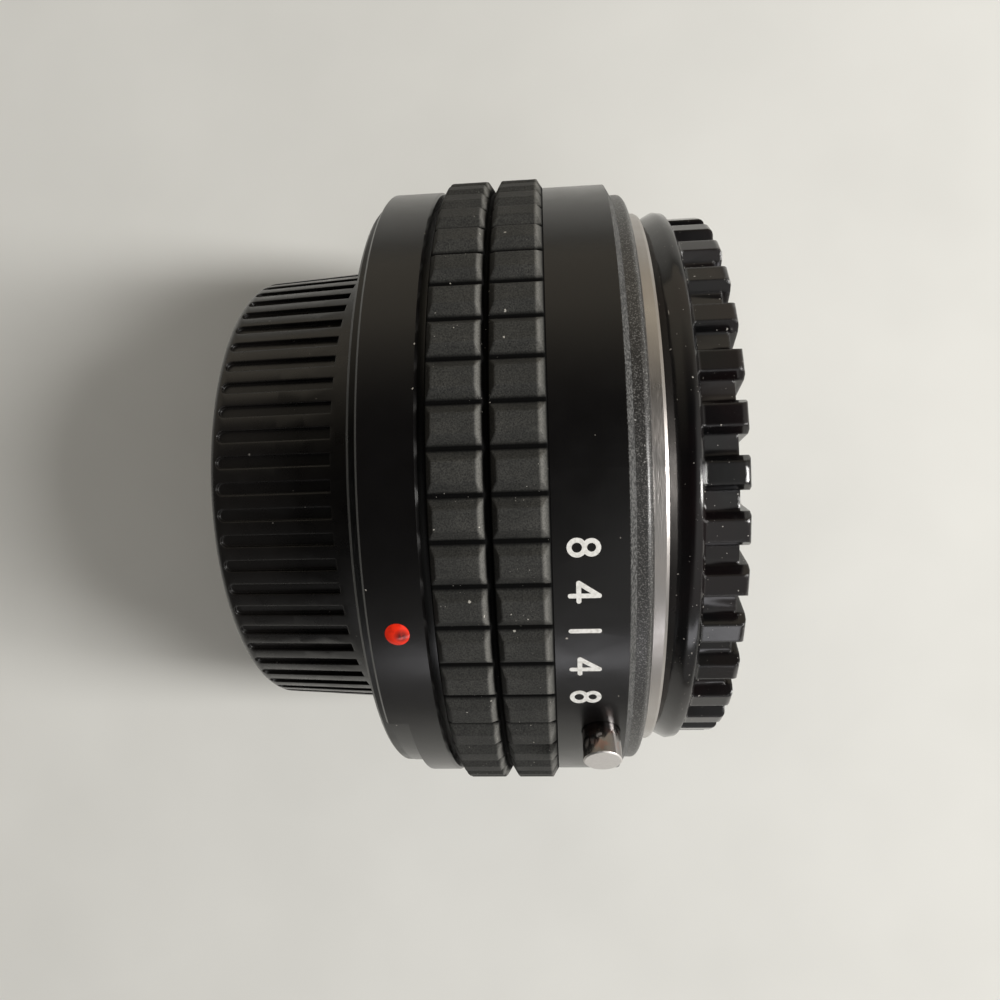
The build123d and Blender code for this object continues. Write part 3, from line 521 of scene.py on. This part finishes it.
class TELECONVERTER_OT_grip(bpy.types.Operator):
    """Finish the rubber grip"""

    bl_idname = "teleconverter.grip"
    bl_label = "Rubber grip"

    def execute(self, context):
        sizes = context.scene.teleconverter_grip
        # Moulded nitrile rubber: matt dark grey, chalky in patches, with grain and lint
        material, tree, shader = new_finish("Moulded rubber", Roughness=0.75, IOR=1.45)
        point = place(tree)
        parts = add(tree, "ShaderNodeSeparateXYZ", {0: lathe_place(tree, point)})
        grain = add(
            tree,
            "ShaderNodeTexNoise",
            {"Vector": point, "Scale": MM / sizes.grain, "Detail": 3.0, "Roughness": 0.7},
        ).outputs["Fac"]
        tone = add(
            tree, "ShaderNodeMapRange", {"Value": grain, "From Min": 0.35, "From Max": 0.65}
        ).outputs["Result"]
        chalk = clouds(tree, point, size=2.6, low=0.4, high=0.75, end=0.45, detail=4.0)
        # Painted highlight: a thin light grey on the blocks' ends that face the lens, on the
        # window's side
        low, high = (corner.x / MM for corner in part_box("rubber_grip"))
        row_length = (high - low) / 2
        back_off = add(
            tree, "ShaderNodeMath", {0: high, 1: parts.outputs["X"]}, operation="SUBTRACT"
        )
        row = add(
            tree, "ShaderNodeMath", {0: back_off.outputs[0], 1: row_length}, operation="MODULO"
        ).outputs[0]
        # The painted highlight grows up the end's slope and stops at the crest; these are mm
        # behind the end
        slope_start, slope_full, crest, past_crest = 0.2, 0.5, 0.62, 0.8
        painted_end_highlight_fall = add(
            tree,
            "ShaderNodeMapRange",
            {"Value": row, "From Min": past_crest, "From Max": crest},
        ).outputs["Result"]
        painted_end_highlight_rise = add(
            tree,
            "ShaderNodeMapRange",
            {"Value": row, "From Min": slope_start, "From Max": slope_full, "To Min": 0.25},
        ).outputs["Result"]
        grainy = add(
            tree,
            "ShaderNodeMapRange",
            {"Value": grain, "From Min": 0.3, "From Max": 0.6, "To Min": 0.4},
        ).outputs["Result"]
        # Painted shade: the valleys between blocks and rows are painted black, and their
        # reflection is turned down
        block_height, shade_top, shade_bottom = 0.8, 0.22, 0.02
        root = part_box("rubber_grip")[1].y / MM - block_height
        painted_valley_shade = add(
            tree,
            "ShaderNodeMapRange",
            {
                "Value": parts.outputs["Y"],
                "From Min": root + shade_top,
                "From Max": root + shade_bottom,
            },
        ).outputs["Result"]
        dull = add(tree, "ShaderNodeMapRange", {"Value": painted_valley_shade, "To Min": 0.5, "To Max": 0.08})
        tree.links.new(dull.outputs["Result"], shader.inputs["Specular IOR Level"])
        # Dust lies all over, finer dust and lint only where they crowd
        specks = dust(tree, point, spacing=1.1, size=0.26, share=0.5)
        fine = dust(tree, point, spacing=0.3, size=0.11, share=0.5)
        crowd = clouds(tree, point, size=4.0, low=0.52, high=0.66, detail=3.0)
        drawn_out = add(
            tree, "ShaderNodeVectorMath", {0: point, 1: (0.22, 1.0, 0.6)}, operation="MULTIPLY"
        ).outputs["Vector"]
        lint = dust(tree, drawn_out, spacing=0.8, size=0.12, share=0.22)
        loose = join(
            tree,
            "MAXIMUM",
            specks,
            join(tree, "MULTIPLY", fine, crowd),
            join(tree, "MULTIPLY", lint, crowd),
        )
        base = layered(
            tree,
            sizes.colour,
            (tone, linear("#333330")),
            (join(tree, "MULTIPLY", chalk, tone), linear("#4c4b47")),
            # painted highlight on the blocks' ends that face the lens
            (join(tree, "MULTIPLY", painted_end_highlight_rise, painted_end_highlight_fall, grainy), linear("#64635f")),
            # painted shade in the valleys between blocks and rows
            (painted_valley_shade, linear("#070707")),
            (loose, linear("#aeaba3")),
        )
        tree.links.new(base, shader.inputs["Base Color"])
        emboss(tree, shader, grain, depth=0.035, edge=0.3)
        put_on(material, "rubber_grip")
        ease("rubber_grip", width=0.12, segments=3)
        return {"FINISHED"}


class TELECONVERTER_OT_mounts(bpy.types.Operator):
    """Finish the chromed mounts and button"""

    bl_idname = "teleconverter.mounts"
    bl_label = "Mounts and button"

    def execute(self, context):
        sizes = context.scene.teleconverter_metal
        # Satin chrome on turned brass: a warm grey metal whose lathe marks spread the light
        material, tree, shader = new_finish("Satin chrome on brass", Metallic=1.0, Roughness=0.3)
        point = place(tree)
        marks = add(
            tree,
            "ShaderNodeTexNoise",
            {"Vector": lathe_place(tree, point), "Scale": MM / sizes.turning},
        ).outputs["Fac"]
        cloud = add(
            tree, "ShaderNodeTexNoise", {"Vector": point, "Scale": 1 / 3.5, "Detail": 3.0}
        ).outputs["Fac"]
        base = layered(tree, sizes.chrome_colour, (cloud, linear("#aea7a2")))
        tree.links.new(base, shader.inputs["Base Color"])
        rough = add(
            tree,
            "ShaderNodeMapRange",
            {"Value": cloud, "From Min": 0.3, "From Max": 0.7, "To Min": 0.26, "To Max": 0.38},
        )
        tree.links.new(rough.outputs["Result"], shader.inputs["Roughness"])
        emboss(tree, shader, marks, depth=0.014)
        put_on(material, "lens_mount")
        # The same chrome with its outer edge black and not metallic, so that only the mount's face
        # shines
        material = material.copy()
        material.name = "Satin chrome with a black edge"
        tree = material.node_tree
        shader = tree.nodes["Principled BSDF"]
        face = shader.inputs["Base Color"].links[0].from_socket
        parts = add(tree, "ShaderNodeSeparateXYZ", {0: lathe_place(tree, place(tree))})
        black_depth, fade = 0.35, 0.05
        black_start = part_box("camera_mount")[1].y / MM - black_depth
        edge = add(
            tree,
            "ShaderNodeMapRange",
            {
                "Value": parts.outputs["Y"],
                "From Min": black_start,
                "From Max": black_start + fade,
            },
        ).outputs["Result"]
        base = layered(tree, face, (edge, linear("#0d0d0d")))
        tree.links.new(base, shader.inputs["Base Color"])
        metal = add(tree, "ShaderNodeMapRange", {"Value": edge, "To Min": 1.0, "To Max": 0.0})
        tree.links.new(metal.outputs["Result"], shader.inputs["Metallic"])
        put_on(material, "camera_mount")
        # Bright chrome on brass with rubbed patches and a frosted end; the body's colour is
        # darkened below chrome's, a painted reflection of a dark room
        material, tree, shader = new_finish("Bright chrome on brass", Metallic=1.0, Roughness=0.14)
        point = place(tree)
        parts = add(tree, "ShaderNodeSeparateXYZ", {0: lathe_place(tree, point)})
        frost_start, frost_full = 0.13, 0.06  # mm below the button's end
        end_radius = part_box("front_barrel")[1].y / MM + sizes.button_reach / MM
        tip = add(
            tree,
            "ShaderNodeMapRange",
            {
                "Value": parts.outputs["Y"],
                "From Min": end_radius - frost_start,
                "From Max": end_radius - frost_full,
            },
        ).outputs["Result"]
        rubbed = clouds(tree, point, size=0.7, low=0.5, high=0.62, end=0.6, detail=3.0)
        base = layered(
            tree,
            # painted reflection: the body's chrome darkened as if it mirrored a dark room
            linear("#8d8988"),
            (rubbed, linear("#9c7a70")),
            (tip, linear("#dedbd8")),
        )
        tree.links.new(base, shader.inputs["Base Color"])
        worn = clouds(
            tree, point, size=0.5, low=0.35, high=0.7, start=0.08, end=0.22, detail=4.0
        )
        frost = clouds(
            tree, point, size=0.18, low=0.3, high=0.7, start=0.25, end=0.5, detail=3.0
        )
        rough = add(
            tree, "ShaderNodeMath", {0: tip, 1: frost, 2: worn}, operation="MULTIPLY_ADD"
        )
        tree.links.new(rough.outputs[0], shader.inputs["Roughness"])
        put_on(material, "release_button")
        ease("release_button", width=0.05)
        return {"FINISHED"}


class TELECONVERTER_OT_inner_metal(bpy.types.Operator):
    """Finish the screws, springs, pins and the works"""

    bl_idname = "teleconverter.inner_metal"
    bl_label = "Screws, springs and works"

    def execute(self, context):
        sizes = context.scene.teleconverter_metal
        # Bright steel, turned and tumbled: small soft scratches in every direction
        material, tree, shader = new_finish("Bright steel", Metallic=1.0, Roughness=0.25)
        point = place(tree)
        scratch = add(
            tree, "ShaderNodeTexNoise", {"Vector": point, "Scale": 1 / 0.12, "Detail": 4.0}
        ).outputs["Fac"]
        shader.inputs["Base Color"].default_value = linear("#b4b2ae")
        rough = add(
            tree,
            "ShaderNodeMapRange",
            {"Value": scratch, "From Min": 0.3, "From Max": 0.7, "To Min": 0.18, "To Max": 0.36},
        )
        tree.links.new(rough.outputs["Result"], shader.inputs["Roughness"])
        emboss(tree, shader, scratch, depth=0.002)
        put_on(
            material,
            "camera_mount_screws",
            "lens_mount_screws",
            "barrel_screws",
            "retainer_screws",
            "lock_pin",
            "ring_post",
            "fixed_post",
        )
        # Drawn spring steel: darker, with a cloudy sheen
        material, tree, shader = new_finish("Spring steel", Metallic=1.0, Roughness=0.32)
        point = place(tree)
        cloud = add(
            tree, "ShaderNodeTexNoise", {"Vector": point, "Scale": 1 / 0.2, "Detail": 3.0}
        ).outputs["Fac"]
        base = layered(tree, linear("#8f8d8a"), (cloud, linear("#a8a5a0")))
        tree.links.new(base, shader.inputs["Base Color"])
        rough = add(
            tree,
            "ShaderNodeMapRange",
            {"Value": cloud, "From Min": 0.3, "From Max": 0.7, "To Min": 0.25, "To Max": 0.42},
        )
        tree.links.new(rough.outputs["Result"], shader.inputs["Roughness"])
        put_on(
            material, "lens_mount_springs", "button_clip", "lock_pin_spring", "diaphragm_spring"
        )
        # Turned brass: warm metal with lathe marks
        material, tree, shader = new_finish("Turned brass", Metallic=1.0, Roughness=0.3)
        point = place(tree)
        marks = add(
            tree,
            "ShaderNodeTexNoise",
            {"Vector": lathe_place(tree, point), "Scale": MM / sizes.turning},
        ).outputs["Fac"]
        cloud = add(
            tree, "ShaderNodeTexNoise", {"Vector": point, "Scale": 1 / 2.0, "Detail": 3.0}
        ).outputs["Fac"]
        base = layered(tree, linear("#c79f55"), (cloud, linear("#a9853f")))
        tree.links.new(base, shader.inputs["Base Color"])
        emboss(tree, shader, marks, depth=0.003)
        put_on(material, "ring_retainer")
        # Matt black anodised aluminium: dead black with a grey bloom on the lathe marks
        material, tree, shader = new_finish("Black anodised aluminium", Roughness=0.6)
        marks = add(
            tree,
            "ShaderNodeTexNoise",
            {"Vector": lathe_place(tree, place(tree)), "Scale": MM / sizes.turning},
        ).outputs["Fac"]
        base = layered(tree, linear("#0f0f10"), (marks, linear("#1c1c1d")))
        tree.links.new(base, shader.inputs["Base Color"])
        emboss(tree, shader, marks, depth=0.004)
        put_on(
            material,
            "bulkhead",
            "diaphragm_ring",
            "light_shield",
            "lens_cell",
            "retaining_ring",
            "spacer_front",
            "spacer_rear",
            "rear_baffle",
        )
        return {"FINISHED"}


class TELECONVERTER_OT_glass(bpy.types.Operator):
    """Finish the coated elements"""

    bl_idname = "teleconverter.glass"
    bl_label = "Coated glass"

    def execute(self, context):
        # Polished optical glass with a vacuum coating: clear, with a violet cast in its gloss
        material, tree, shader = new_finish(
            "Coated optical glass", Roughness=0.02, IOR=1.62, Transmission_Weight=1.0
        )
        film = add(
            tree, "ShaderNodeTexNoise", {"Vector": place(tree), "Scale": 1 / 9.0, "Detail": 1.0}
        ).outputs["Fac"]
        base = layered(tree, linear("#f4f1fb"), (film, linear("#eaf3f2")))
        tree.links.new(base, shader.inputs["Base Color"])
        shader.inputs["Specular Tint"].default_value = linear("#a58fd8")
        put_on(material, "element_1", "element_2", "element_3", "element_4")
        return {"FINISHED"}


class TELECONVERTER_OT_marks(bpy.types.Operator):
    """Finish the index dot and the white marks"""

    bl_idname = "teleconverter.marks"
    bl_label = "Dot and marks"

    def execute(self, context):
        sizes = context.scene.teleconverter_marks
        # Cast acrylic bead: clear gloss over strong red, with darker patches and painted shade on
        # one side
        material, tree, shader = new_finish("Cast acrylic bead", Roughness=0.18, IOR=1.49)
        point = place(tree)
        grime = clouds(tree, point, size=0.9, low=0.52, high=0.75, detail=3.0)
        # The painted shade is darkest round a spot beside the bead's middle, with a ragged rim
        low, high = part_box("index_dot")
        shade_shift = Vector((0.32, -0.05, 0))
        shade_rim, shade_core, raggedness = 0.72, 0.36, 0.5
        spot = (low + high) / 2 / MM + shade_shift
        gap = add(tree, "ShaderNodeVectorMath", {0: point, 1: spot}, operation="DISTANCE")
        ragged = add(
            tree,
            "ShaderNodeMath",
            {0: grime, 1: raggedness, 2: gap.outputs["Value"]},
            operation="MULTIPLY_ADD",
        )
        painted_shade = add(
            tree,
            "ShaderNodeMapRange",
            {"Value": ragged.outputs[0], "From Min": shade_rim, "From Max": shade_core},
        ).outputs["Result"]
        base = layered(
            tree,
            sizes.dot_colour,
            (grime, linear("#b01d0f")),
            # painted shade on one side of the bead
            (painted_shade, linear("#4a0a06")),
        )
        tree.links.new(base, shader.inputs["Base Color"])
        put_on(material, "index_dot")
        # Enamel wiped into engraving: flat white with a chalky, slightly dirty face
        material, tree, shader = new_finish("White enamel fill", Roughness=0.55, IOR=1.5)
        chalk = add(
            tree, "ShaderNodeTexNoise", {"Vector": place(tree), "Scale": 1 / 0.25, "Detail": 3.0}
        ).outputs["Fac"]
        dirt = add(
            tree, "ShaderNodeMapRange", {"Value": chalk, "From Min": 0.4, "From Max": 0.75}
        ).outputs["Result"]
        base = layered(tree, sizes.white, (dirt, linear("#c9c7c1")))
        tree.links.new(base, shader.inputs["Base Color"])
        emboss(tree, shader, chalk, depth=0.006)
        put_on(material, "scale_marks")
        return {"FINISHED"}


def lay_floor(scene, colour):
    """A plain floor, level with the part's underside."""
    # Painted board: pale and matt, in faintly uneven coats
    material, tree, shader = new_finish("Painted board", Roughness=0.85)
    coats = clouds(tree, place(tree), size=30.0, low=0.3, high=0.7, detail=3.0)
    base = layered(tree, colour, (coats, linear("#d8d8d4")))
    tree.links.new(base, shader.inputs["Base Color"])
    mesh = bpy.data.meshes.new("floor")
    reach = 2.5  # metres from the middle to each side
    corners = [(-reach, -reach, 0), (reach, -reach, 0), (reach, reach, 0), (-reach, reach, 0)]
    mesh.from_pydata(corners, [], [(0, 1, 2, 3)])
    mesh.materials.append(material)
    floor = bpy.data.objects.new("floor", mesh)
    scene.collection.objects.link(floor)


def soft_lamp(scene, name, spot, width, height, power, colour):
    """A soft box, spot and size in metres, that is turned to the part's axis."""
    data = bpy.data.lights.new(name, "AREA")
    data.shape = "RECTANGLE"
    data.size = width
    data.size_y = height
    data.energy = power
    data.color = linear(colour)[:3]
    lamp = bpy.data.objects.new(name, data)
    lamp.location = spot
    lamp.rotation_mode = "QUATERNION"
    aim = Vector((0, 0, AXIS_HEIGHT)) - Vector(spot)
    lamp.rotation_quaternion = aim.to_track_quat("-Z", "Y")
    lamp.visible_camera = False
    scene.collection.objects.link(lamp)


def paint_room(scene):
    """The room around: pale on the window's side, warm behind, dim at the left and overhead."""
    world = bpy.data.worlds.new("studio")
    scene.world = world
    world.use_nodes = True
    tree = world.node_tree
    direction = add(tree, "ShaderNodeTexCoord")
    parts = add(tree, "ShaderNodeSeparateXYZ", {0: direction.outputs["Generated"]})
    right, away, upward = (parts.outputs[axis] for axis in "XYZ")
    slant = -0.35
    lean = add(
        tree, "ShaderNodeMath", {0: away, 1: slant, 2: right}, operation="MULTIPLY_ADD"
    ).outputs[0]
    # How much of each wall a direction sees, from none to all of it, as the direction turns
    walls = {}
    for wall, turn, none, full in (
        ("side", right, -0.4, 0.7),
        ("back", away, 0.1, 0.8),
        ("front", away, -0.1, -0.8),
        ("ceiling", upward, 0.45, 0.9),
        ("lit ceiling", lean, 0.11, 0.3),
        ("near side", right, -0.45, -0.2),
    ):
        walls[wall] = add(
            tree, "ShaderNodeMapRange", {"Value": turn, "From Min": none, "From Max": full}
        ).outputs["Result"]
    overhead = layered(tree, linear("#1f1e1e"), (walls["lit ceiling"], linear("#d2d1ce")))
    room = layered(
        tree,
        linear("#474645"),
        (walls["side"], linear("#c1bfbc")),
        (walls["back"], linear("#ccc2b0")),
        (join(tree, "MULTIPLY", walls["front"], walls["near side"]), linear("#a3a19e")),
        (walls["ceiling"], overhead),
    )
    sky = tree.nodes["Background"]
    tree.links.new(room, sky.inputs["Color"])
    sky.inputs["Strength"].default_value = 1.0


def set_camera(scene, lens):
    """The camera, solved from the photo's outlines: it looks down, 4 degrees off plumb."""
    data = bpy.data.cameras.new("camera")
    data.lens = lens
    data.sensor_width = 36
    data.clip_start = 0.005
    data.clip_end = 20
    camera = bpy.data.objects.new("camera", data)
    right = Vector((0.99691, -0.02869, -0.07304))
    up = Vector((0.02877, 0.99959, 0.0))
    back = Vector((0.07301, -0.00210, 0.99733))
    stand = Matrix((right, up, back)).transposed().to_4x4()
    stand.translation = Vector((7.62, -2.31, 120.2)) * MM
    camera.matrix_world = stand
    scene.collection.objects.link(camera)
    scene.camera = camera


class TELECONVERTER_OT_stage(bpy.types.Operator):
    """Make the floor, the light and the camera"""

    bl_idname = "teleconverter.stage"
    bl_label = "Stage"

    def execute(self, context):
        sizes = context.scene.teleconverter_stage
        scene = context.scene
        lay_floor(scene, sizes.floor_colour)
        soft_lamp(
            scene,
            "window",
            spot=(0.605, -0.048, 0.47),
            width=0.1,
            height=0.36,
            power=6.4,
            colour="#fffdfa",
        )
        soft_lamp(
            scene,
            "doorway",
            spot=(0.1, -0.6, 0.3),
            width=0.5,
            height=0.1,
            power=0.4,
            colour="#fbfaff",
        )
        paint_room(scene)
        set_camera(scene, sizes.lens)
        scene.view_settings.view_transform = "Standard"
        return {"FINISHED"}


class TELECONVERTER_PT_panel(bpy.types.Panel):
    """Lists the steps that dress the teleconverter"""

    bl_idname = "TELECONVERTER_PT_panel"
    bl_label = "Teleconverter"
    bl_space_type = "VIEW_3D"
    bl_region_type = "UI"
    bl_category = "Teleconverter"

    def draw(self, context):
        for group, _, fields, steps in PANEL_ROWS:
            box = self.layout.box()
            for field in fields:
                box.prop(getattr(context.scene, group), field)
            for step in steps:
                box.operator(step.bl_idname)


PANEL_ROWS = (
    (
        "teleconverter_plastic",
        PlasticSizes,
        ("rear_colour", "front_colour", "texture"),
        (TELECONVERTER_OT_rear_cap, TELECONVERTER_OT_front_cap),
    ),
    (
        "teleconverter_barrel",
        BarrelSizes,
        ("colour", "trim_colour", "turning"),
        (TELECONVERTER_OT_barrels, TELECONVERTER_OT_trim_ring),
    ),
    (
        "teleconverter_grip",
        GripSizes,
        ("colour", "grain"),
        (TELECONVERTER_OT_grip,),
    ),
    (
        "teleconverter_metal",
        MetalSizes,
        ("chrome_colour", "turning", "button_reach"),
        (TELECONVERTER_OT_mounts, TELECONVERTER_OT_inner_metal, TELECONVERTER_OT_glass),
    ),
    (
        "teleconverter_marks",
        MarkSizes,
        ("dot_colour", "white"),
        (TELECONVERTER_OT_marks,),
    ),
    (
        "teleconverter_stage",
        StageSizes,
        ("floor_colour", "lens"),
        (TELECONVERTER_OT_stage,),
    ),
)

CLASSES = (*(step for *_, steps in PANEL_ROWS for step in steps), TELECONVERTER_PT_panel)


def register():
    for group, kind, _, _ in PANEL_ROWS:
        bpy.utils.register_class(kind)
        setattr(bpy.types.Scene, group, bpy.props.PointerProperty(type=kind))
    for kind in CLASSES:
        bpy.utils.register_class(kind)


def unregister():
    for kind in reversed(CLASSES):
        bpy.utils.unregister_class(kind)
    for group, kind, _, _ in reversed(PANEL_ROWS):
        delattr(bpy.types.Scene, group)
        bpy.utils.unregister_class(kind)


def main():
    register()
    bpy.ops.teleconverter.rear_cap()
    bpy.ops.teleconverter.front_cap()
    bpy.ops.teleconverter.barrels()
    bpy.ops.teleconverter.trim_ring()
    bpy.ops.teleconverter.grip()
    bpy.ops.teleconverter.mounts()
    bpy.ops.teleconverter.inner_metal()
    bpy.ops.teleconverter.glass()
    bpy.ops.teleconverter.marks()
    bpy.ops.teleconverter.stage()


if __name__ == "__main__":
    main()
